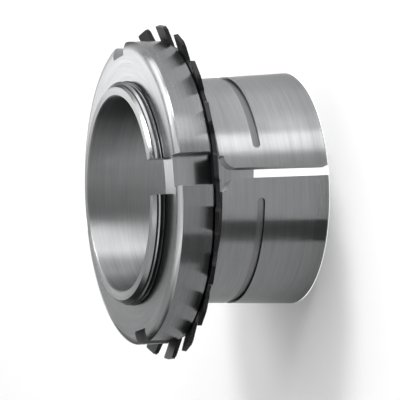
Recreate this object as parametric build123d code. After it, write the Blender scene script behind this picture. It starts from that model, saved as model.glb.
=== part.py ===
from build123d import *
import math
import os

# Adapter sleeve with its lock nut and lock washer, for a bearing on a plain shaft.
# The part stands on its large end. The origin is the centre of that end face, and +Z runs
# along the axis to the threaded end. The slit and the notch face -Y. Lengths in millimetres.
SLIT_DIRECTION = -90.0

# Sleeve: plain bore, outside tapered 1:12, thread at the small end
BORE_DIAMETER = 140.0
SLEEVE_WALL = 10.0
SLEEVE_LENGTH = 130.0
TAPER_RATIO = 12.0
TAPER_STEP = 0.4
LARGE_END_CHAMFER = 1.2
BORE_CHAMFER = 0.8

# Threaded end: the thread's own turns are fine, so the solid stops at their root
THREADED_END_LENGTH = 50.3
THREAD_PITCH = 3.0
THREAD_DEPTH_PER_PITCH = 0.6134
THREAD_END_CHAMFER = 3.8
TAPER_START_CHAMFER = 1.6
RELIEF_WIDTH = 3.4
RELIEF_DEPTH = 0.55

# Slit along the whole sleeve, widened to a notch that runs just past the threaded end
SLIT_WIDTH = 7.4
NOTCH_WIDTH = 25.6
NOTCH_PAST_THREAD = 3.0

# Oil groove around the tapered seat, stopped short of the slit
GROOVE_WIDTH = 5.7
GROOVE_DEPTH = 1.6
GROOVE_HEIGHT = 51.1
GROOVE_LAND = 20.8

# Lock nut: crowned front edge, bevelled back edge, square slots for a spanner or a tab
NUT_WALL = 28.5
NUT_WIDTH = 28.0
NUT_STANDBACK = 8.5
NUT_CROWN_WIDTH = 7.9
NUT_CROWN_DEPTH = 2.8
NUT_BEVEL_WIDTH = 5.9
NUT_BEVEL_ANGLE = 30.0
NUT_SLOTS = 4
NUT_SLOT_WIDTH = 22.6
NUT_SLOT_DEPTH = 10.0
NUT_SLOT_EDGE = 0.6
NUT_BORE_CHAMFER = 2.0

# Lock washer: flat ring, one key in the notch, outer tabs bent towards the nut
WASHER_THICKNESS = 3.0
WASHER_RIM_INSET = 3.0
TABS = 19
TAB_WIDTH = 18.0
TAB_LENGTH = 14.3
TAB_BEND_PAST_RIM = 0.8
TAB_BEND_ANGLE = 22.5
TAB_BEND_RADIUS = 3.0
TAB_CORNER = 2.2
TAB_ROOT_FILLET = 2.0
KEY_DEPTH = 7.5

# Clearances between the pieces
THREAD_CLEARANCE = 0.2
WASHER_CLEARANCE = 0.5
KEY_CLEARANCE = 0.4

# How far a cutter runs past the surface it cuts, and a tab or key reaches into the ring
CUT_PAST = 2.0
JOIN_DEPTH = 5.0

# Sizes that follow from the ones above
BORE_RADIUS = BORE_DIAMETER / 2
THREAD_RADIUS = BORE_RADIUS + SLEEVE_WALL
THREAD_ROOT_RADIUS = THREAD_RADIUS - THREAD_DEPTH_PER_PITCH * THREAD_PITCH
RELIEF_RADIUS = THREAD_ROOT_RADIUS - RELIEF_DEPTH
TAPER_LENGTH = SLEEVE_LENGTH - THREADED_END_LENGTH
TAPER_SMALL_RADIUS = THREAD_RADIUS + TAPER_STEP / 2
NOTCH_BOTTOM = TAPER_LENGTH - NOTCH_PAST_THREAD
NUT_TOP = SLEEVE_LENGTH - NUT_STANDBACK
NUT_BOTTOM = NUT_TOP - NUT_WIDTH
NUT_RADIUS = THREAD_RADIUS + NUT_WALL
NUT_BORE_RADIUS = THREAD_ROOT_RADIUS + THREAD_CLEARANCE
WASHER_TOP = NUT_BOTTOM
WASHER_BOTTOM = WASHER_TOP - WASHER_THICKNESS
WASHER_BORE_RADIUS = THREAD_RADIUS + WASHER_CLEARANCE
WASHER_RIM_RADIUS = NUT_RADIUS - WASHER_RIM_INSET
TAB_START = WASHER_RIM_RADIUS - JOIN_DEPTH
TAB_TIP = WASHER_RIM_RADIUS + TAB_LENGTH


def taper_radius(z):
    """Radius of the tapered seat at a height above the large end."""
    return TAPER_SMALL_RADIUS + (TAPER_LENGTH - z) / (2 * TAPER_RATIO)


def turned(points):
    """Solid of revolution about Z from (radius, height) corners."""
    outline = Polyline(*points, close=True)
    return revolve(Plane.XZ * make_face(outline), axis=Axis.Z)


def sleeve_blank():
    """Turned sleeve before the slit, notch and groove are cut."""
    relief_bottom = TAPER_LENGTH + TAPER_START_CHAMFER
    relief_top = relief_bottom + RELIEF_WIDTH
    face_radius = THREAD_RADIUS - THREAD_END_CHAMFER
    root_chamfer = THREAD_ROOT_RADIUS - face_radius
    return turned([
        (BORE_RADIUS + BORE_CHAMFER, 0),
        (taper_radius(0) - LARGE_END_CHAMFER, 0),
        (taper_radius(LARGE_END_CHAMFER), LARGE_END_CHAMFER),
        (taper_radius(TAPER_LENGTH), TAPER_LENGTH),
        (TAPER_SMALL_RADIUS - TAPER_START_CHAMFER, relief_bottom),
        (RELIEF_RADIUS, relief_bottom),
        (RELIEF_RADIUS, relief_top),
        (THREAD_ROOT_RADIUS, relief_top + RELIEF_DEPTH),
        (THREAD_ROOT_RADIUS, SLEEVE_LENGTH - root_chamfer),
        (face_radius, SLEEVE_LENGTH),
        (BORE_RADIUS + BORE_CHAMFER, SLEEVE_LENGTH),
        (BORE_RADIUS, SLEEVE_LENGTH - BORE_CHAMFER),
        (BORE_RADIUS, BORE_CHAMFER),
    ])


def slit_cutter():
    """Slit and notch as one cut; its lips are rounded where the slit opens into the notch."""
    slit = SLIT_WIDTH / 2
    notch = NOTCH_WIDTH / 2
    lip_radius = notch - slit
    lip_bottom = NOTCH_BOTTOM - lip_radius
    lip_mid = lip_radius * math.cos(math.radians(45))
    lip_start = (slit, lip_bottom)
    lip_end = (notch, NOTCH_BOTTOM)
    below = -CUT_PAST
    above = SLEEVE_LENGTH + CUT_PAST
    right = [
        Line((slit, below), lip_start),
        ThreePointArc(lip_start, (notch - lip_mid, lip_bottom + lip_mid), lip_end),
        Line(lip_end, (notch, above)),
    ]
    left = [edge.mirror(Plane.YZ) for edge in right]
    ends = [
        Line((-slit, below), (slit, below)),
        Line((-notch, above), (notch, above)),
    ]
    outline = make_face(Wire(right + left + ends))
    return extrude(Plane.XZ * outline, amount=taper_radius(0) + CUT_PAST)


def groove_cutter():
    """Oil groove: a ring segment with round ends, each one land away from the slit's centre."""
    outer = taper_radius(GROOVE_HEIGHT)
    section = Pos(outer, GROOVE_HEIGHT) * Rectangle(2 * GROOVE_DEPTH, GROOVE_WIDTH)
    end_angle = math.degrees(GROOVE_LAND / outer)
    ring = revolve(Plane.XZ * section, axis=Axis.Z, revolution_arc=360 - 2 * end_angle)
    cutter = Rot(0, 0, SLIT_DIRECTION + end_angle) * ring
    round_end = Rot(0, 90, 0) * Cylinder(GROOVE_WIDTH / 2, 2 * GROOVE_DEPTH)
    for side in (-1, 1):
        turn = Rot(0, 0, SLIT_DIRECTION + side * end_angle)
        cutter += turn * Pos(outer, 0, GROOVE_HEIGHT) * round_end
    return cutter


def adapter_sleeve():
    return sleeve_blank() - slit_cutter() - groove_cutter()


def nut_crown():
    """Crowned front edge as an arc that leaves the face level and meets the outside at a corner."""
    half_turn = math.atan2(NUT_CROWN_DEPTH, NUT_CROWN_WIDTH)
    radius = NUT_CROWN_WIDTH / math.sin(2 * half_turn)
    start = NUT_RADIUS - NUT_CROWN_WIDTH
    middle = (
        start + radius * math.sin(half_turn),
        NUT_TOP - radius * (1 - math.cos(half_turn)),
    )
    return ThreePointArc((start, NUT_TOP), middle, (NUT_RADIUS, NUT_TOP - NUT_CROWN_DEPTH))


def nut_blank():
    """Turned nut before its slots are cut."""
    bevel_height = NUT_BEVEL_WIDTH * math.tan(math.radians(NUT_BEVEL_ANGLE))
    bore_edge = NUT_BORE_RADIUS + NUT_BORE_CHAMFER
    below = Polyline(
        (NUT_RADIUS, NUT_TOP - NUT_CROWN_DEPTH),
        (NUT_RADIUS, NUT_BOTTOM + bevel_height),
        (NUT_RADIUS - NUT_BEVEL_WIDTH, NUT_BOTTOM),
        (bore_edge, NUT_BOTTOM),
        (NUT_BORE_RADIUS, NUT_BOTTOM + NUT_BORE_CHAMFER),
        (NUT_BORE_RADIUS, NUT_TOP - NUT_BORE_CHAMFER),
        (bore_edge, NUT_TOP),
        (NUT_RADIUS - NUT_CROWN_WIDTH, NUT_TOP),
    )
    return revolve(Plane.XZ * make_face(below + nut_crown()), axis=Axis.Z)


def lock_nut():
    nut = nut_blank()
    slot = Box(2 * NUT_SLOT_DEPTH, NUT_SLOT_WIDTH, NUT_WIDTH + 2 * CUT_PAST)
    for i in range(NUT_SLOTS):
        turn = Rot(0, 0, SLIT_DIRECTION + i * 360 / NUT_SLOTS)
        nut -= turn * Pos(NUT_RADIUS, 0, (NUT_TOP + NUT_BOTTOM) / 2) * slot
    rim_edges = [
        edge
        for edge in nut.edges().filter_by(Axis.Z)
        if math.hypot(edge.center().X, edge.center().Y) > NUT_RADIUS - NUT_SLOT_EDGE
    ]
    return chamfer(rim_edges, length=NUT_SLOT_EDGE)


def tab_section():
    """Side view of one outer tab, from inside the ring to the tip, as (radius, height)."""
    bend = math.radians(TAB_BEND_ANGLE)
    outer_bend_radius = TAB_BEND_RADIUS + WASHER_THICKNESS
    bend_start = WASHER_RIM_RADIUS + TAB_BEND_PAST_RIM - outer_bend_radius * math.tan(bend / 2)

    def on_bend(radius, angle):
        return (
            bend_start + radius * math.sin(angle),
            WASHER_TOP + TAB_BEND_RADIUS - radius * math.cos(angle),
        )

    top_end = on_bend(TAB_BEND_RADIUS, bend)
    bottom_end = on_bend(outer_bend_radius, bend)
    rise = math.tan(bend)
    top_tip = (top_end[0] + TAB_TIP - bottom_end[0], top_end[1] + (TAB_TIP - bottom_end[0]) * rise)
    bottom_tip = (TAB_TIP, bottom_end[1] + (TAB_TIP - bottom_end[0]) * rise)
    top_start = on_bend(TAB_BEND_RADIUS, 0)
    bottom_start = on_bend(outer_bend_radius, 0)
    return make_face(Wire([
        Line((TAB_START, WASHER_TOP), top_start),
        ThreePointArc(top_start, on_bend(TAB_BEND_RADIUS, bend / 2), top_end),
        Line(top_end, top_tip),
        Line(top_tip, bottom_tip),
        Line(bottom_tip, bottom_end),
        ThreePointArc(bottom_end, on_bend(outer_bend_radius, bend / 2), bottom_start),
        Line(bottom_start, (TAB_START, WASHER_BOTTOM)),
        Line((TAB_START, WASHER_BOTTOM), (TAB_START, WASHER_TOP)),
    ]))


def tab_plan():
    """Outline of one tab seen along the axis: parallel sides and cut-off tip corners."""
    half = TAB_WIDTH / 2
    return make_face(Polyline(
        (TAB_START, -half),
        (TAB_TIP - TAB_CORNER, -half),
        (TAB_TIP, TAB_CORNER - half),
        (TAB_TIP, half - TAB_CORNER),
        (TAB_TIP - TAB_CORNER, half),
        (TAB_START, half),
        close=True,
    ))


def outer_tab():
    side = extrude(Plane.XZ * tab_section(), amount=TAB_WIDTH, both=True)
    plan = extrude(Pos(0, 0, WASHER_BOTTOM) * tab_plan(), amount=WASHER_THICKNESS + TAB_LENGTH)
    return side & plan


def washer_key():
    """Key that points inwards from the ring and slides in the sleeve's notch."""
    length = KEY_DEPTH + JOIN_DEPTH
    middle = WASHER_BORE_RADIUS - KEY_DEPTH + length / 2
    key = Box(length, NOTCH_WIDTH - 2 * KEY_CLEARANCE, WASHER_THICKNESS)
    return Pos(middle, 0, WASHER_BOTTOM + WASHER_THICKNESS / 2) * key


def lock_washer():
    """Flat ring with its key and tabs; the ring's seam is turned into the first tab."""
    rim = Circle(WASHER_RIM_RADIUS) - Circle(WASHER_BORE_RADIUS)
    ring = Pos(0, 0, WASHER_BOTTOM) * extrude(rim, amount=WASHER_THICKNESS)
    washer = Rot(0, 0, SLIT_DIRECTION) * (ring + washer_key())
    tab = outer_tab()
    for i in range(TABS):
        washer += Rot(0, 0, SLIT_DIRECTION + i * 360 / TABS) * tab
    root_edges = [
        edge
        for edge in washer.edges().filter_by(Axis.Z)
        if abs(math.hypot(edge.center().X, edge.center().Y) - WASHER_RIM_RADIUS) < TAB_ROOT_FILLET / 10
    ]
    return fillet(root_edges, radius=TAB_ROOT_FILLET)


PIECES = {
    "adapter_sleeve": adapter_sleeve,
    "lock_nut": lock_nut,
    "lock_washer": lock_washer,
}

os.makedirs("parts", exist_ok=True)
for name, make in PIECES.items():
    export_step(make(), f"parts/{name}.step")
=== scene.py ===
import math

import bmesh
import bpy
from mathutils import Matrix, Quaternion, Vector


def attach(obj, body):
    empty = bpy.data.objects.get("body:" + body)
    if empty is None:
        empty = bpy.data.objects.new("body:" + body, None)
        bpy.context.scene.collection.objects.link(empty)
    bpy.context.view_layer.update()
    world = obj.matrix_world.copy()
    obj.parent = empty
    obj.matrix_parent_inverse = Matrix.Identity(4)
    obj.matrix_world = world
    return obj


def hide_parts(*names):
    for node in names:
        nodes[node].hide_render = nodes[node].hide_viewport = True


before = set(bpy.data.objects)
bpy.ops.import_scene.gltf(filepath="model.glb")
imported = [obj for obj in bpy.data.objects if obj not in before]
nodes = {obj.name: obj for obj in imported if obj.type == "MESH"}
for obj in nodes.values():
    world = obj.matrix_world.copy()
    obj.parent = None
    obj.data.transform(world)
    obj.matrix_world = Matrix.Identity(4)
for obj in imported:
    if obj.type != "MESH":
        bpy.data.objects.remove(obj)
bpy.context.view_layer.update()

# Lengths are in millimetres, as in the part's source, unless a comment says metres
MM = 0.001
SLIT_DIRECTION = math.radians(-90)

# Sleeve
BORE_RADIUS = 70.0
BORE_CHAMFER = 0.8
SLEEVE_LENGTH = 130.0
FACE_RADIUS = 76.2
TAPER_LENGTH = 79.7
TAPER_SMALL_RADIUS = 80.2
TAPER_SLOPE = 1 / 24
TAPER_CHAMFER_RADIUS = 78.6
LARGE_END_CHAMFER = 1.2
RELIEF_RADIUS = 77.61
RELIEF_BOTTOM = 81.3
RELIEF_TOP = 84.7

# Thread, and the gap between its two sides
THREAD_PITCH = 3.0
THREAD_CREST = 80.0
THREAD_ROOT = 78.16
THREAD_START = 85.25
THREAD_CLEARANCE = 0.2

# Slit, notch and oil groove
SLIT_HALF = 3.7
NOTCH_HALF = 12.8
NOTCH_BOTTOM = 76.7
LIP_RADIUS = NOTCH_HALF - SLIT_HALF
LIP_BOTTOM = NOTCH_BOTTOM - LIP_RADIUS
GROOVE_HEIGHT = 51.1
GROOVE_HALF = 2.85
GROOVE_DEPTH = 1.6
GROOVE_LAND = 20.8

# Nut
NUT_TOP = 121.5
NUT_BOTTOM = 93.5
NUT_RADIUS = 108.5
NUT_BORE_EDGE = 80.36
NUT_CROWN_WIDTH = 7.9
NUT_CROWN_DEPTH = 2.8
NUT_BEVEL_WIDTH = 5.9
NUT_BEVEL_HEIGHT = 3.406
NUT_SLOTS = 4
NUT_SLOT_HALF = 11.3
NUT_SLOT_FLOOR = 98.5
NUT_SLOT_EDGE = 0.6

# How far a cutter runs past what it cuts, and how close corners are joined after a cut
CUT_PAST = 4.0
SAME_PLACE = 0.0001

# How finely the turned pieces are divided
COLUMNS = 360
CROWN_STEPS = 10
LIP_STEPS = 12
GROOVE_STEPS = 180
SHARP_ANGLE = math.radians(25)

# One turn of thread as (share of the pitch, share of the depth), from crest to crest
THREAD_FORM = (
    (-0.0625, 1.0),
    (0.0625, 1.0),
    (0.24, 0.5),
    (0.4165, 0.0),
    (0.5835, 0.0),
    (0.76, 0.5),
)
THREAD_PHASE = 0.65

# Turns that are worked out past each end of the thread, and how close to an end counts as there
SPARE_TURNS = 2
AT_END = 1e-6

# Telling the surfaces apart by place: how near counts as there, how far below the taper and
# outside the bore the groove's painted shade starts, and how far up its flanks the thread's root is
# painted dark as shade
NEAR = 0.1
VERY_NEAR = 0.01
GROOVE_BELOW = 0.05
GROOVE_OUTSIDE = 2.0
ROOT_SHADE = 0.4

# Telling the surfaces apart, for their colours with their painted light and shade, by how much of
# a face's normal points up, or away from the axis
END_LEVEL = 0.9
CUT_LEVEL = 0.99
NUT_LEVEL = 0.999
TURNED_OUTWARD = 0.6
THREAD_OUTWARD = 0.3
FLANK_UPWARD = 0.5
NUT_BORE_OUTWARD = -0.1
NUT_RIM_OUTWARD = 0.75
SLOT_OUTWARD = 0.9
CROWN_UPWARD = 0.02
BEVEL_UPWARD = -0.3

# Colours of one steel, made lighter or darker surface by surface to match how light falls there:
# painted light on the bore, the end faces, the crown, the notch and the nut's slot walls, painted
# shade on the thread's root, the groove, the slit, the nut's rim and thread and its slot floors
SLEEVE_STEEL = (0.345, 0.35, 0.355)
BORE_PAINTED_LIGHT = (0.45, 0.455, 0.46)
FACE_PAINTED_LIGHT = (0.43, 0.435, 0.44)
ROOT_PAINTED_SHADE = (0.1, 0.101, 0.103)
GROOVE_PAINTED_SHADE = (0.2, 0.2, 0.205)
SLIT_PAINTED_SHADE = (0.12, 0.121, 0.124)
NOTCH_PAINTED_LIGHT = (0.5, 0.505, 0.51)
NUT_PAINTED_SHADE = (0.215, 0.218, 0.222)
NUT_FACE_PAINTED_LIGHT = (0.38, 0.384, 0.39)
NUT_SLOT_PAINTED_SHADE = (0.21, 0.213, 0.217)
NUT_WALL_PAINTED_LIGHT = (0.4, 0.404, 0.41)

# At grazing angles steel reflects less than an ideal metal of its colour
EDGE_TINT = (0.66, 0.66, 0.66, 1)

# Tool lines, bands and cloudiness: the scales of their noise per metre, the squeeze that stretches
# lines and bands around the axis, and the noise's range that is used
LINE_SCALE = 900
BAND_SCALE = 160
CLOUD_SCALE = 28
RING_SQUEEZE = 0.03
NOISE_LOW, NOISE_HIGH = 0.35, 0.65

# How strongly they show in the colour, the roughness and the bump, whose height is in metres
LINE_SHARE = 0.5
STREAK = 0.13
CLOUD_SHARE = 0.4
ROUGHNESS_SWING = 0.12
LINE_BUMP = 0.1
LINE_HEIGHT = 0.00005

# Anisotropic rotation that spreads a highlight along the axis, in turns
LENGTHWISE = 0.25

# Black oxide on the washer, with its noise scales per metre and its bump's height in metres
OXIDE_DARK = (0.014, 0.014, 0.015)
OXIDE_LIGHT = (0.026, 0.026, 0.029)
OXIDE_SHINE = 0.16
OXIDE_ROUGHNESS = (0.36, 0.48)
OXIDE_LOW, OXIDE_HIGH = 0.3, 0.7
OXIDE_CLOUD_SCALE = 45
OXIDE_GRAIN_SCALE = 1400
OXIDE_BUMP = 0.15
OXIDE_GRAIN_HEIGHT = 0.00004

# Camera: what it aims at and from how far, its direction in degrees, and its roll, because the
# photo shows the part lying on its side; the nearest and farthest that it sees are in metres
CAMERA_AIM = (-6.37, 0.93, 67.89)
CAMERA_DISTANCE = 2890.4
CAMERA_AZIMUTH = 261.73
CAMERA_ELEVATION = 19.6
CAMERA_ROLL = -91.88
CAMERA_LENS = 361.3
CAMERA_SENSOR = 36
CAMERA_REACH = (0.1, 100)

# Lamps as (name, azimuths, elevations, radiance), in degrees round the part; distances in metres
LAMP_DISTANCE = 1.6
LAMP_AIM = 0.08
WATTS_PER_RADIANCE = 4
LAMPS = (
    ("key_strip", (-62, -42), (0, 32), 5.0),
    ("key_box", (-54, 18), (14, 38), 2.2),
    ("bore_box", (-26, 1), (40, 56), 15.0),
    ("chamfer_box", (6, 28), (30, 42), 1.3),
    ("back_strip", (66, 90), (0, 14), 0.9),
    ("face_strip", (66, 81.5), (14, 28), 1.95),
    ("face_fill", (81.5, 104), (12, 30), 0.5),
    ("back_box", (18, 66), (14, 28), 0.6),
    ("crown_box", (30, 62), (33, 60), 2.2),
    ("crown_back", (92, 124), (30, 52), 0.4),
    ("overhead", (19, 145), (54, 102), 0.95),
    ("fill_box", (140, 212), (34, 74), 0.6),
    ("front_box", (214, 256), (38, 72), 0.7),
)
WHITE = (1, 1, 1, 1)
WORLD_LIGHT = 0.02

# Floor in metres: its rings, the backdrop that it curves up into, and the glow that is added
# where it is seen, much stronger within the part's foot as painted light that lifts the shade inside
# the bore
FLOOR_RINGS = (0.4, 1.5, 5.0)
BACKDROP_RADIUS = 1.2
BACKDROP_STEPS = 8
FLOOR_SIDES = 96
FLOOR_COLOUR = (0.82, 0.82, 0.82, 1)
MATT_ROUGHNESS = 0.9
FLOOR_GLOW = 0.14
FOOT_PAINTED_LIGHT = 0.9
FOOT_RADIUS = 0.0834
FOOT_BLUR = 0.0005

# Dark card on the floor in metres: how far round from the view each edge starts, in degrees, and
# how far the card reaches
FLAG_TURNS = (15.5, 27.0)
FLAG_START = 0.0836
FLAG_REACH = 0.45
FLAG_HEIGHT = 0.0003
FLAG_COLOUR = (0.02, 0.02, 0.02, 1)
FLAG_GREY = 0.03
VIEW_AZIMUTH = 261.1


def taper_radius(z):
    """Radius of the tapered seat at a height above the large end."""
    return TAPER_SMALL_RADIUS + (TAPER_LENGTH - z) * TAPER_SLOPE


def add_object(name, data):
    """New object in the scene, from a mesh, lamp or camera."""
    obj = bpy.data.objects.new(name, data)
    bpy.context.scene.collection.objects.link(obj)
    return obj


def mesh_object(name, vertices, faces):
    """Closed mesh with its faces turned outwards, from corners in millimetres."""
    mesh = bpy.data.meshes.new(name)
    mesh.from_pydata([(x * MM, y * MM, z * MM) for x, y, z in vertices], [], faces)
    work = bmesh.new()
    work.from_mesh(mesh)
    bmesh.ops.recalc_face_normals(work, faces=work.faces)
    work.to_mesh(mesh)
    work.free()
    return add_object(name, mesh)


def thread_corners(angle, low, high):
    """Corners of the thread at one angle, from below low to above high, as (z, depth) pairs."""
    turns = math.ceil((high - low) / THREAD_PITCH) + 2 * SPARE_TURNS
    turns_below = math.floor((low - THREAD_START) / THREAD_PITCH) - SPARE_TURNS
    start = THREAD_START + THREAD_PITCH * (THREAD_PHASE + turns_below)
    return [
        (start + THREAD_PITCH * (turn + share + angle / (2 * math.pi)), depth)
        for turn in range(turns)
        for share, depth in THREAD_FORM
    ]


def turned_threaded(name, outline, clearance, limit):
    """Turned piece whose outline's last corner runs up a helical thread to its first corner.

    limit keeps a thread radius within the end chamfers at its height.
    """
    low, high = outline[-1][1], outline[0][1]
    angles = [2 * math.pi * i / COLUMNS for i in range(COLUMNS)]
    vertices = []
    rings = []
    for radius, z in outline:
        rings.append(range(len(vertices), len(vertices) + COLUMNS))
        for angle in angles:
            vertices.append((radius * math.cos(angle), radius * math.sin(angle), z))
    top, bottom = rings[0], rings[-1]
    columns = []
    for i, angle in enumerate(angles):
        column = []
        for z, depth in thread_corners(angle, low, high):
            if z <= low + AT_END:
                column.append(bottom[i])
            elif z >= high - AT_END:
                column.append(top[i])
            else:
                radius = limit(THREAD_ROOT + clearance + (THREAD_CREST - THREAD_ROOT) * depth, z)
                column.append(len(vertices))
                vertices.append((radius * math.cos(angle), radius * math.sin(angle), z))
        columns.append(column)
    shift = len(THREAD_FORM)
    columns.append(columns[0][shift:] + [top[0]] * shift)
    faces = []

    def add_face(*corners):
        kept = [corner for i, corner in enumerate(corners) if corner != corners[i - 1]]
        if len(set(kept)) > 2:
            faces.append(kept)

    for i in range(COLUMNS):
        near, far = columns[i], columns[i + 1]
        for j in range(len(near) - 1):
            add_face(near[j], far[j], far[j + 1], near[j + 1])
    for first, second in zip(rings, rings[1:]):
        for i in range(COLUMNS):
            after = (i + 1) % COLUMNS
            add_face(first[i], first[after], second[after], second[i])
    return mesh_object(name, vertices, faces)


def prism(name, outline, place, along):
    """Closed prism: an outline pushed from along[0] to along[1]; place(u, v, w) gives a corner."""
    count = len(outline)
    vertices = [place(u, v, w) for w in along for u, v in outline]
    faces = [list(range(count)), list(range(count, 2 * count))]
    faces += [(i, (i + 1) % count, count + (i + 1) % count, count + i) for i in range(count)]
    return mesh_object(name, vertices, faces)


def cut(obj, cutters):
    """Takes the cutters out of a mesh, deletes them and splits the cut faces into triangles."""
    for cutter in cutters:
        modifier = obj.modifiers.new("cut", "BOOLEAN")
        modifier.operation = "DIFFERENCE"
        modifier.solver = "EXACT"
        modifier.object = cutter
    graph = bpy.context.evaluated_depsgraph_get()
    result = bpy.data.meshes.new_from_object(obj.evaluated_get(graph))
    obj.modifiers.clear()
    obj.data = result
    for cutter in cutters:
        bpy.data.objects.remove(cutter)
    work = bmesh.new()
    work.from_mesh(result)
    bmesh.ops.remove_doubles(work, verts=work.verts, dist=SAME_PLACE * MM)
    bmesh.ops.triangulate(work, faces=work.faces, quad_method="BEAUTY", ngon_method="BEAUTY")
    work.to_mesh(result)
    work.free()


def paint(obj, materials, choose):
    """Gives each face the material that choose names, and keeps the corners crisp."""
    mesh = obj.data
    mesh.materials.clear()
    names = list(materials)
    for name in names:
        mesh.materials.append(materials[name])
    for face in mesh.polygons:
        centre = Vector(face.center) / MM
        radial = Vector((centre.x, centre.y, 0)).normalized()
        outward = face.normal.dot(radial)
        radius = math.hypot(centre.x, centre.y)
        face.material_index = names.index(choose(centre, radius, outward, face.normal.z))
        face.use_smooth = True
    mesh.set_sharp_from_angle(angle=SHARP_ANGLE)


def slit_cutter():
    """Slit and notch, with the lips rounded where the slit opens into the notch."""
    right = [(SLIT_HALF, -CUT_PAST)]
    for i in range(LIP_STEPS + 1):
        turn = math.pi / 2 * i / LIP_STEPS
        right.append((
            NOTCH_HALF - LIP_RADIUS * math.cos(turn),
            LIP_BOTTOM + LIP_RADIUS * math.sin(turn),
        ))
    right.append((NOTCH_HALF, SLEEVE_LENGTH + CUT_PAST))
    left = [(-x, z) for x, z in reversed(right)]
    depth = (-taper_radius(0) - CUT_PAST, -BORE_RADIUS + 2 * CUT_PAST)
    return prism("slit_cutter", right + left, lambda u, v, w: (u, w, v), depth)


def groove_stations():
    """Places along the oil groove as (angle, half width), with both of its ends rounded."""
    outer = taper_radius(GROOVE_HEIGHT)
    land = GROOVE_LAND / outer
    first = SLIT_DIRECTION + land
    sweep = 2 * math.pi - 2 * land
    turns = [math.pi / 2 * (i + 0.5) / LIP_STEPS for i in range(LIP_STEPS)]
    stations = []
    for turn in turns:
        angle = first - GROOVE_HALF * math.cos(turn) / outer
        stations.append((angle, GROOVE_HALF * math.sin(turn)))
    for i in range(GROOVE_STEPS + 1):
        stations.append((first + sweep * i / GROOVE_STEPS, GROOVE_HALF))
    for turn in reversed(turns):
        angle = first + sweep + GROOVE_HALF * math.cos(turn) / outer
        stations.append((angle, GROOVE_HALF * math.sin(turn)))
    return stations


def groove_cutter():
    """Oil groove: a rectangular ring segment that stops one land from the slit on each side."""
    outer = taper_radius(GROOVE_HEIGHT)
    deep, mouth = outer - GROOVE_DEPTH, outer + GROOVE_DEPTH
    vertices = []
    for angle, half in groove_stations():
        for radius, rise in ((deep, -half), (mouth, -half), (mouth, half), (deep, half)):
            vertices.append((
                radius * math.cos(angle),
                radius * math.sin(angle),
                GROOVE_HEIGHT + rise,
            ))
    last = len(vertices) - 4
    faces = [(0, 1, 2, 3), (last, last + 1, last + 2, last + 3)]
    for near in range(0, last, 4):
        far = near + 4
        for i in range(4):
            after = (i + 1) % 4
            faces.append((near + i, near + after, far + after, far + i))
    return mesh_object("groove_cutter", vertices, faces)


def slot_cutter(turn):
    """Spanner slot of the nut, its two long edges broken where they meet the rim."""
    rim = math.sqrt(NUT_RADIUS**2 - NUT_SLOT_HALF**2)
    past = NUT_RADIUS + CUT_PAST
    right = [
        (NUT_SLOT_FLOOR, NUT_SLOT_HALF),
        (rim - NUT_SLOT_EDGE, NUT_SLOT_HALF),
        (past, NUT_SLOT_HALF + past - rim + NUT_SLOT_EDGE),
    ]
    outline = right + [(u, -v) for u, v in reversed(right)]
    cosine, sine = math.cos(turn), math.sin(turn)
    return prism(
        "slot_cutter",
        outline,
        lambda u, v, w: (u * cosine - v * sine, u * sine + v * cosine, w),
        (NUT_BOTTOM - CUT_PAST, NUT_TOP + CUT_PAST),
    )


def sleeve_limit(radius, z):
    """Keeps the sleeve's thread inside the chamfers at both of its ends."""
    return min(radius, FACE_RADIUS + SLEEVE_LENGTH - z, THREAD_ROOT + z - THREAD_START)


def nut_limit(radius, z):
    """Opens the nut's thread out to the bore's chamfers."""
    return max(radius, NUT_BORE_EDGE - (z - NUT_BOTTOM), NUT_BORE_EDGE - (NUT_TOP - z))


def make_sleeve():
    """Sleeve with its thread, slit, notch and oil groove."""
    outline = [
        (FACE_RADIUS, SLEEVE_LENGTH),
        (BORE_RADIUS + BORE_CHAMFER, SLEEVE_LENGTH),
        (BORE_RADIUS, SLEEVE_LENGTH - BORE_CHAMFER),
        (BORE_RADIUS, BORE_CHAMFER),
        (BORE_RADIUS + BORE_CHAMFER, 0),
        (taper_radius(0) - LARGE_END_CHAMFER, 0),
        (taper_radius(LARGE_END_CHAMFER), LARGE_END_CHAMFER),
        (TAPER_SMALL_RADIUS, TAPER_LENGTH),
        (TAPER_CHAMFER_RADIUS, RELIEF_BOTTOM),
        (RELIEF_RADIUS, RELIEF_BOTTOM),
        (RELIEF_RADIUS, RELIEF_TOP),
        (THREAD_ROOT, THREAD_START),
    ]
    obj = turned_threaded("threaded_sleeve", outline, 0, sleeve_limit)
    cut(obj, [slit_cutter(), groove_cutter()])
    return obj


def crown_outline():
    """The nut's crowned front edge: an arc that leaves the face level and ends at the rim."""
    half_turn = math.atan2(NUT_CROWN_DEPTH, NUT_CROWN_WIDTH)
    radius = NUT_CROWN_WIDTH / math.sin(2 * half_turn)
    start = NUT_RADIUS - NUT_CROWN_WIDTH
    corners = []
    for i in range(CROWN_STEPS + 1):
        turn = 2 * half_turn * i / CROWN_STEPS
        corners.append((start + radius * math.sin(turn), NUT_TOP - radius * (1 - math.cos(turn))))
    return corners


def make_nut():
    """Nut with its thread, crowned front edge, bevelled back edge and slots."""
    outline = [
        (NUT_BORE_EDGE, NUT_TOP),
        *crown_outline(),
        (NUT_RADIUS, NUT_BOTTOM + NUT_BEVEL_HEIGHT),
        (NUT_RADIUS - NUT_BEVEL_WIDTH, NUT_BOTTOM),
        (NUT_BORE_EDGE, NUT_BOTTOM),
    ]
    obj = turned_threaded("threaded_nut", outline, THREAD_CLEARANCE, nut_limit)
    step = 2 * math.pi / NUT_SLOTS
    cut(obj, [slot_cutter(SLIT_DIRECTION + step * i) for i in range(NUT_SLOTS)])
    return obj


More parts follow.
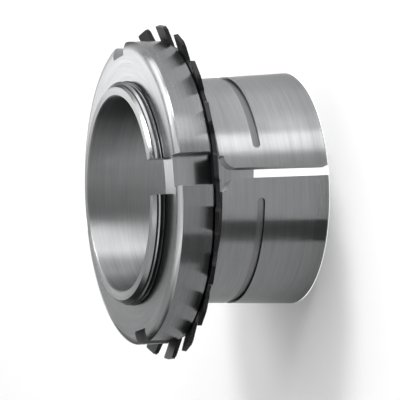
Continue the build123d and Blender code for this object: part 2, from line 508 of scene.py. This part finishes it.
class Nodes:
    """Short way to add and link shader nodes."""

    def __init__(self, tree):
        self.tree = tree

    def add(self, kind, inputs=None, **settings):
        """New node, with its settings and what goes into its inputs."""
        node = self.tree.nodes.new(kind)
        for key, value in settings.items():
            setattr(node, key, value)
        for key, value in (inputs or {}).items():
            self.put(node.inputs[key], value)
        return node

    def put(self, socket, value):
        """Links another node's output to a socket, or sets the socket's own value."""
        if isinstance(value, bpy.types.NodeSocket):
            self.tree.links.new(value, socket)
        else:
            socket.default_value = value

    def math(self, operation, *values):
        """Result of a math node on one or two values."""
        node = self.add("ShaderNodeMath", operation=operation)
        for socket, value in zip(node.inputs, values):
            self.put(socket, value)
        return node.outputs[0]

    def noise(self, place, scale, **inputs):
        """Noise between 0 and 1, at a scale per metre."""
        node = self.add("ShaderNodeTexNoise", {"Vector": place, "Scale": scale, **inputs})
        return node.outputs[0]

    def place(self):
        """Place on the object, in metres."""
        return self.add("ShaderNodeTexCoord").outputs["Object"]

    def round_axis(self, place):
        """A place's x, y and z, and its distance from the axis."""
        x, y, z = self.add("ShaderNodeSeparateXYZ", {"Vector": place}).outputs
        squares = self.math("ADD", self.math("MULTIPLY", x, x), self.math("MULTIPLY", y, y))
        return x, y, z, self.math("SQRT", squares)

    def spread(self, value, low, high, to_low, to_high):
        """Value from one range carried over to another and held inside it."""
        node = self.add("ShaderNodeMapRange", {
            "Value": value,
            "From Min": low,
            "From Max": high,
            "To Min": to_low,
            "To Max": to_high,
        })
        return node.outputs["Result"]

    def tint(self, factor, dark, light):
        """Colour between two colours."""
        node = self.add("ShaderNodeMix", data_type="RGBA")
        self.put(node.inputs["Factor"], factor)
        self.put(node.inputs["A"], (*dark, 1))
        self.put(node.inputs["B"], (*light, 1))
        return node.outputs["Result"]

    def blend(self, first, second, share):
        """Sum of two values, the first with its share and the second with the rest."""
        return self.math(
            "ADD",
            self.math("MULTIPLY", first, share),
            self.math("MULTIPLY", second, 1 - share),
        )

    def bump(self, shader, height, strength, distance):
        """Gives the shader a bump that rises with a value, by up to a distance in metres."""
        node = self.add("ShaderNodeBump", {
            "Height": height,
            "Strength": strength,
            "Distance": distance,
        })
        self.put(shader.inputs["Normal"], node.outputs[0])


def new_material(name):
    """Material with one Principled shader, and a helper that adds nodes to it."""
    material = bpy.data.materials.new(name)
    material.use_nodes = True
    material.node_tree.nodes.clear()
    tree = Nodes(material.node_tree)
    shader = tree.add("ShaderNodeBsdfPrincipled")
    tree.add("ShaderNodeOutputMaterial", {"Surface": shader.outputs[0]})
    return material, tree, shader


def turned_steel(name, colour, roughness, anisotropy=0, flat=False):
    """Bright turned steel: fine tool lines around the axis, faint bands and a soft cloudiness.

    The lines lie above each other, as on a barrel, or outside each other on a flat face.
    """
    material, tree, shader = new_material(name)
    place = tree.place()
    x, y, z, radius = tree.round_axis(place)
    ring = tree.add("ShaderNodeCombineXYZ", {
        "X": tree.math("MULTIPLY", x, RING_SQUEEZE),
        "Y": tree.math("MULTIPLY", y, RING_SQUEEZE),
        "Z": radius if flat else z,
    }).outputs[0]
    lines = tree.noise(ring, LINE_SCALE, Detail=3, Roughness=0.6)
    bands = tree.noise(ring, BAND_SCALE, Detail=2)
    cloud = tree.noise(place, CLOUD_SCALE, Detail=3)

    tone = tree.spread(tree.blend(lines, bands, LINE_SHARE), NOISE_LOW, NOISE_HIGH, 0, 1)
    dark = tuple(c * (1 - STREAK) for c in colour)
    light = tuple(c * (1 + STREAK) for c in colour)
    tree.put(shader.inputs["Base Color"], tree.tint(tone, dark, light))
    shader.inputs["Metallic"].default_value = 1
    shader.inputs["Specular Tint"].default_value = EDGE_TINT

    smoothest, roughest = roughness * (1 - ROUGHNESS_SWING), roughness * (1 + ROUGHNESS_SWING)
    patchy = tree.blend(cloud, bands, CLOUD_SHARE)
    uneven = tree.spread(patchy, NOISE_LOW, NOISE_HIGH, smoothest, roughest)
    tree.put(shader.inputs["Roughness"], uneven)
    if anisotropy:
        shader.inputs["Anisotropic"].default_value = anisotropy
        shader.inputs["Anisotropic Rotation"].default_value = LENGTHWISE
        tangent = tree.add("ShaderNodeTangent", direction_type="RADIAL", axis="Z")
        tree.put(shader.inputs["Tangent"], tangent.outputs[0])
    tree.bump(shader, lines, LINE_BUMP, LINE_HEIGHT)
    return material


def black_oxide(name):
    """Black oxide on sheet steel, satin, a little brighter where it is rubbed."""
    material, tree, shader = new_material(name)
    place = tree.place()
    grain = tree.noise(place, OXIDE_GRAIN_SCALE, Detail=3)
    cloud = tree.noise(place, OXIDE_CLOUD_SCALE, Detail=4)
    rubbed = tree.spread(cloud, NOISE_LOW, NOISE_HIGH, 0, 1)
    tree.put(shader.inputs["Base Color"], tree.tint(rubbed, OXIDE_DARK, OXIDE_LIGHT))
    shader.inputs["Specular IOR Level"].default_value = OXIDE_SHINE
    patchy = tree.spread(cloud, OXIDE_LOW, OXIDE_HIGH, *OXIDE_ROUGHNESS)
    tree.put(shader.inputs["Roughness"], patchy)
    tree.bump(shader, grain, OXIDE_BUMP, OXIDE_GRAIN_HEIGHT)
    return material


def sleeve_zone(centre, radius, outward, upward):
    """Which colour a face of the sleeve gets, with its painted light or shade, from its place in
    millimetres and its normal.
    """
    at_end = centre.z > SLEEVE_LENGTH - NEAR or centre.z < NEAR
    if at_end and abs(upward) > END_LEVEL:
        return "face"
    at_groove = abs(centre.z - GROOVE_HEIGHT) < GROOVE_HALF + VERY_NEAR
    in_wall = BORE_RADIUS + GROOVE_OUTSIDE < radius < taper_radius(centre.z) - GROOVE_BELOW
    beside_slit = centre.y > 0 or abs(centre.x) > SLIT_HALF + VERY_NEAR
    # The groove gets a darker colour: painted shade in the recess
    if at_groove and in_wall and beside_slit:
        return "groove"
    if outward < -TURNED_OUTWARD:
        return "bore"
    if centre.z > RELIEF_BOTTOM - NEAR and outward > THREAD_OUTWARD:
        # The thread's root and the foot of its flanks get a dark colour: painted shade in the
        # thread's grooves
        deep = radius < THREAD_ROOT + ROOT_SHADE and upward < FLANK_UPWARD
        return "root" if deep else "thread"
    if outward > TURNED_OUTWARD:
        return "taper"
    beside_notch = centre.y > 0 or abs(centre.x) > NOTCH_HALF + NEAR
    if beside_notch or abs(upward) > CUT_LEVEL:
        return "thread"
    # The slit's walls get a dark colour: painted shade between the slit's lips
    return "slit" if centre.z < LIP_BOTTOM else "notch"


def nut_zone(centre, radius, outward, upward):
    """Which colour a face of the nut gets, with its painted light or shade, from its place in
    millimetres and its normal.
    """
    if outward < NUT_BORE_OUTWARD and radius < NUT_BORE_EDGE + NEAR:
        return "thread"
    if abs(upward) > NUT_LEVEL:
        return "thread" if radius < NUT_BORE_EDGE else "face"
    if radius > NUT_RADIUS - NUT_CROWN_WIDTH - NEAR and upward > CROWN_UPWARD:
        return "crown"
    if outward > NUT_RIM_OUTWARD and radius > NUT_RADIUS - NEAR:
        return "rim"
    if upward < BEVEL_UPWARD:
        return "rim"
    return "slot" if outward > SLOT_OUTWARD else "wall"


def add_sleeve():
    """Sleeve with its colours: one steel, lighter or darker surface by surface as painted light and
    shade.
    """
    sleeve = make_sleeve()
    # Painted light on the bore, the end faces and the notch; painted shade on the thread's root, the
    # groove and the slit
    paint(sleeve, {
        "taper": turned_steel("sleeve_taper", SLEEVE_STEEL, roughness=0.31, anisotropy=1.0),
        "bore": turned_steel("sleeve_bore", BORE_PAINTED_LIGHT, roughness=0.5, anisotropy=1.0),
        "face": turned_steel("sleeve_face", FACE_PAINTED_LIGHT, roughness=0.3, anisotropy=0.9, flat=True),
        "thread": turned_steel("sleeve_thread", SLEEVE_STEEL, roughness=0.25),
        "root": turned_steel("sleeve_thread_root_painted_shade", ROOT_PAINTED_SHADE, roughness=0.35),
        "groove": turned_steel("sleeve_groove_painted_shade", GROOVE_PAINTED_SHADE, roughness=0.35),
        "slit": turned_steel("sleeve_slit_painted_shade", SLIT_PAINTED_SHADE, roughness=0.35, flat=True),
        "notch": turned_steel("sleeve_notch", NOTCH_PAINTED_LIGHT, roughness=0.5, flat=True),
    }, sleeve_zone)
    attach(sleeve, "sleeve")
    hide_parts("adapter_sleeve")


def add_nut():
    """Nut with its colours: one steel, lighter or darker surface by surface as painted light and
    shade.
    """
    nut = make_nut()
    # Painted light on the face, the crown and the slot walls; painted shade on the rim, the thread
    # and the slot floors
    paint(nut, {
        "face": turned_steel("nut_face", NUT_FACE_PAINTED_LIGHT, roughness=0.17, anisotropy=0.88, flat=True),
        "crown": turned_steel("nut_crown", FACE_PAINTED_LIGHT, roughness=0.25, anisotropy=0.8, flat=True),
        "rim": turned_steel("nut_rim", NUT_PAINTED_SHADE, roughness=0.26, anisotropy=1.0),
        "thread": turned_steel("nut_thread", NUT_PAINTED_SHADE, roughness=0.25),
        "slot": turned_steel("nut_slot", NUT_SLOT_PAINTED_SHADE, roughness=0.2),
        "wall": turned_steel("nut_slot_wall", NUT_WALL_PAINTED_LIGHT, roughness=0.45),
    }, nut_zone)
    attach(nut, "nut")
    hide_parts("lock_nut")


def dress_washer():
    """The washer keeps its shape from the solids and gets its black finish."""
    washer = nodes["lock_washer"]
    washer.data.materials.clear()
    washer.data.materials.append(black_oxide("black_oxide"))


def direction(azimuth, elevation):
    """Unit vector away from the part, from degrees: azimuth 0 is along +X and 90 along +Y."""
    azimuth, elevation = math.radians(azimuth), math.radians(elevation)
    return Vector((
        math.cos(azimuth) * math.cos(elevation),
        math.sin(azimuth) * math.cos(elevation),
        math.sin(elevation),
    ))


def add_camera():
    """Camera at the photo's viewing angle."""
    data = bpy.data.cameras.new("camera")
    data.sensor_width = CAMERA_SENSOR
    data.lens = CAMERA_LENS
    data.clip_start, data.clip_end = CAMERA_REACH
    obj = add_object("camera", data)
    away = direction(CAMERA_AZIMUTH, CAMERA_ELEVATION)
    place = (Vector(CAMERA_AIM) + away * CAMERA_DISTANCE) * MM
    roll = Quaternion((0, 0, 1), math.radians(CAMERA_ROLL))
    obj.matrix_world = Matrix.LocRotScale(place, away.to_track_quat("Z", "Y") @ roll, None)
    bpy.context.scene.camera = obj


def add_softbox(name, azimuths, elevations, radiance):
    """Area lamp that fills a patch of the studio round the part and faces it."""
    azimuth, elevation = sum(azimuths) / 2, sum(elevations) / 2
    half_width = math.radians((azimuths[1] - azimuths[0]) / 2)
    half_height = math.radians((elevations[1] - elevations[0]) / 2)
    data = bpy.data.lights.new(name, "AREA")
    data.shape = "RECTANGLE"
    data.size = 2 * LAMP_DISTANCE * math.cos(math.radians(elevation)) * math.tan(half_width)
    data.size_y = 2 * LAMP_DISTANCE * math.tan(half_height)
    data.energy = WATTS_PER_RADIANCE * data.size * data.size_y * radiance
    away = direction(azimuth, elevation)
    obj = add_object(name, data)
    obj.location = Vector((0, 0, LAMP_AIM)) + away * LAMP_DISTANCE
    obj.rotation_mode = "QUATERNION"
    obj.rotation_quaternion = away.to_track_quat("Z", "Y")
    obj.visible_camera = False


def add_dark_flag():
    """Dark card lying beside the part, seen only in the metal.

    Each edge leaves the sleeve where the view meets it and runs the way the sleeve reflects it,
    so that the dark band in the metal has the same width at every height.
    """
    vertices = []
    for turn in FLAG_TURNS:
        start = math.radians(VIEW_AZIMUTH - turn)
        away = math.radians(VIEW_AZIMUTH - 2 * turn)
        for reach in (0, FLAG_REACH):
            vertices.append((
                FLAG_START * math.cos(start) + reach * math.cos(away),
                FLAG_START * math.sin(start) + reach * math.sin(away),
                FLAG_HEIGHT,
            ))
    mesh = bpy.data.meshes.new("dark_flag")
    mesh.from_pydata(vertices, [], [(0, 1, 3, 2)])
    obj = add_object("dark_flag", mesh)
    obj.visible_camera = False
    obj.visible_diffuse = False
    obj.visible_shadow = False
    material, _, shader = new_material("dark_card")
    shader.inputs["Base Color"].default_value = FLAG_COLOUR
    shader.inputs["Roughness"].default_value = MATT_ROUGHNESS
    shader.inputs["Emission Color"].default_value = WHITE
    shader.inputs["Emission Strength"].default_value = FLAG_GREY
    mesh.materials.append(material)


def floor_profile():
    """The floor's rings and the backdrop's curve, as (radius, height) pairs after the centre."""
    edge = FLOOR_RINGS[-1]
    profile = [(radius, 0) for radius in FLOOR_RINGS]
    for i in range(1, BACKDROP_STEPS + 1):
        turn = math.pi / 2 * i / BACKDROP_STEPS
        rise = BACKDROP_RADIUS * (1 - math.cos(turn))
        profile.append((edge + BACKDROP_RADIUS * math.sin(turn), rise))
    return profile


def pale_floor():
    """White floor: its colour, a little glow where camera, gloss or glass see it, and painted light
    within the part's foot that lifts the shade inside the bore.
    """
    material, tree, shader = new_material("pale_floor")
    shader.inputs["Base Color"].default_value = FLOOR_COLOUR
    shader.inputs["Roughness"].default_value = MATT_ROUGHNESS
    shader.inputs["Specular IOR Level"].default_value = 0
    shader.inputs["Emission Color"].default_value = WHITE
    # Within the part's foot the floor glows strongly: painted light that lifts the shade inside the
    # bore
    *_, radius = tree.round_axis(tree.place())
    inner = FOOT_RADIUS - FOOT_BLUR
    glow = tree.spread(radius, inner, FOOT_RADIUS, FOOT_PAINTED_LIGHT, FLOOR_GLOW)
    ray = tree.add("ShaderNodeLightPath").outputs
    seen = tree.math("MAXIMUM", ray["Is Camera Ray"], ray["Is Glossy Ray"])
    seen = tree.math("MAXIMUM", seen, ray["Is Transmission Ray"])
    tree.put(shader.inputs["Emission Strength"], tree.math("MULTIPLY", glow, seen))
    return material


def add_floor():
    """Round pale floor that curves up into a low backdrop."""
    profile = floor_profile()
    vertices = [(0, 0, 0)]
    for radius, z in profile:
        for i in range(FLOOR_SIDES):
            angle = 2 * math.pi * i / FLOOR_SIDES
            vertices.append((radius * math.cos(angle), radius * math.sin(angle), z))
    faces = [(0, 1 + i, 1 + (i + 1) % FLOOR_SIDES) for i in range(FLOOR_SIDES)]
    for ring in range(len(profile) - 1):
        inner = 1 + ring * FLOOR_SIDES
        outer = inner + FLOOR_SIDES
        for i in range(FLOOR_SIDES):
            after = (i + 1) % FLOOR_SIDES
            faces.append((inner + i, outer + i, outer + after, inner + after))
    mesh = bpy.data.meshes.new("floor")
    mesh.from_pydata(vertices, [], faces)
    for face in mesh.polygons:
        face.use_smooth = True
    mesh.materials.append(pale_floor())
    obj = add_object("floor", mesh)


def add_world():
    """Faint even light from all sides."""
    world = bpy.data.worlds.new("studio")
    world.use_nodes = True
    background = world.node_tree.nodes["Background"]
    background.inputs["Color"].default_value = WHITE
    background.inputs["Strength"].default_value = WORLD_LIGHT
    bpy.context.scene.world = world


add_sleeve()
add_nut()
dress_washer()
add_camera()
add_floor()
add_world()
add_dark_flag()
for lamp in LAMPS:
    add_softbox(*lamp)
bpy.context.scene.view_settings.view_transform = "Standard"
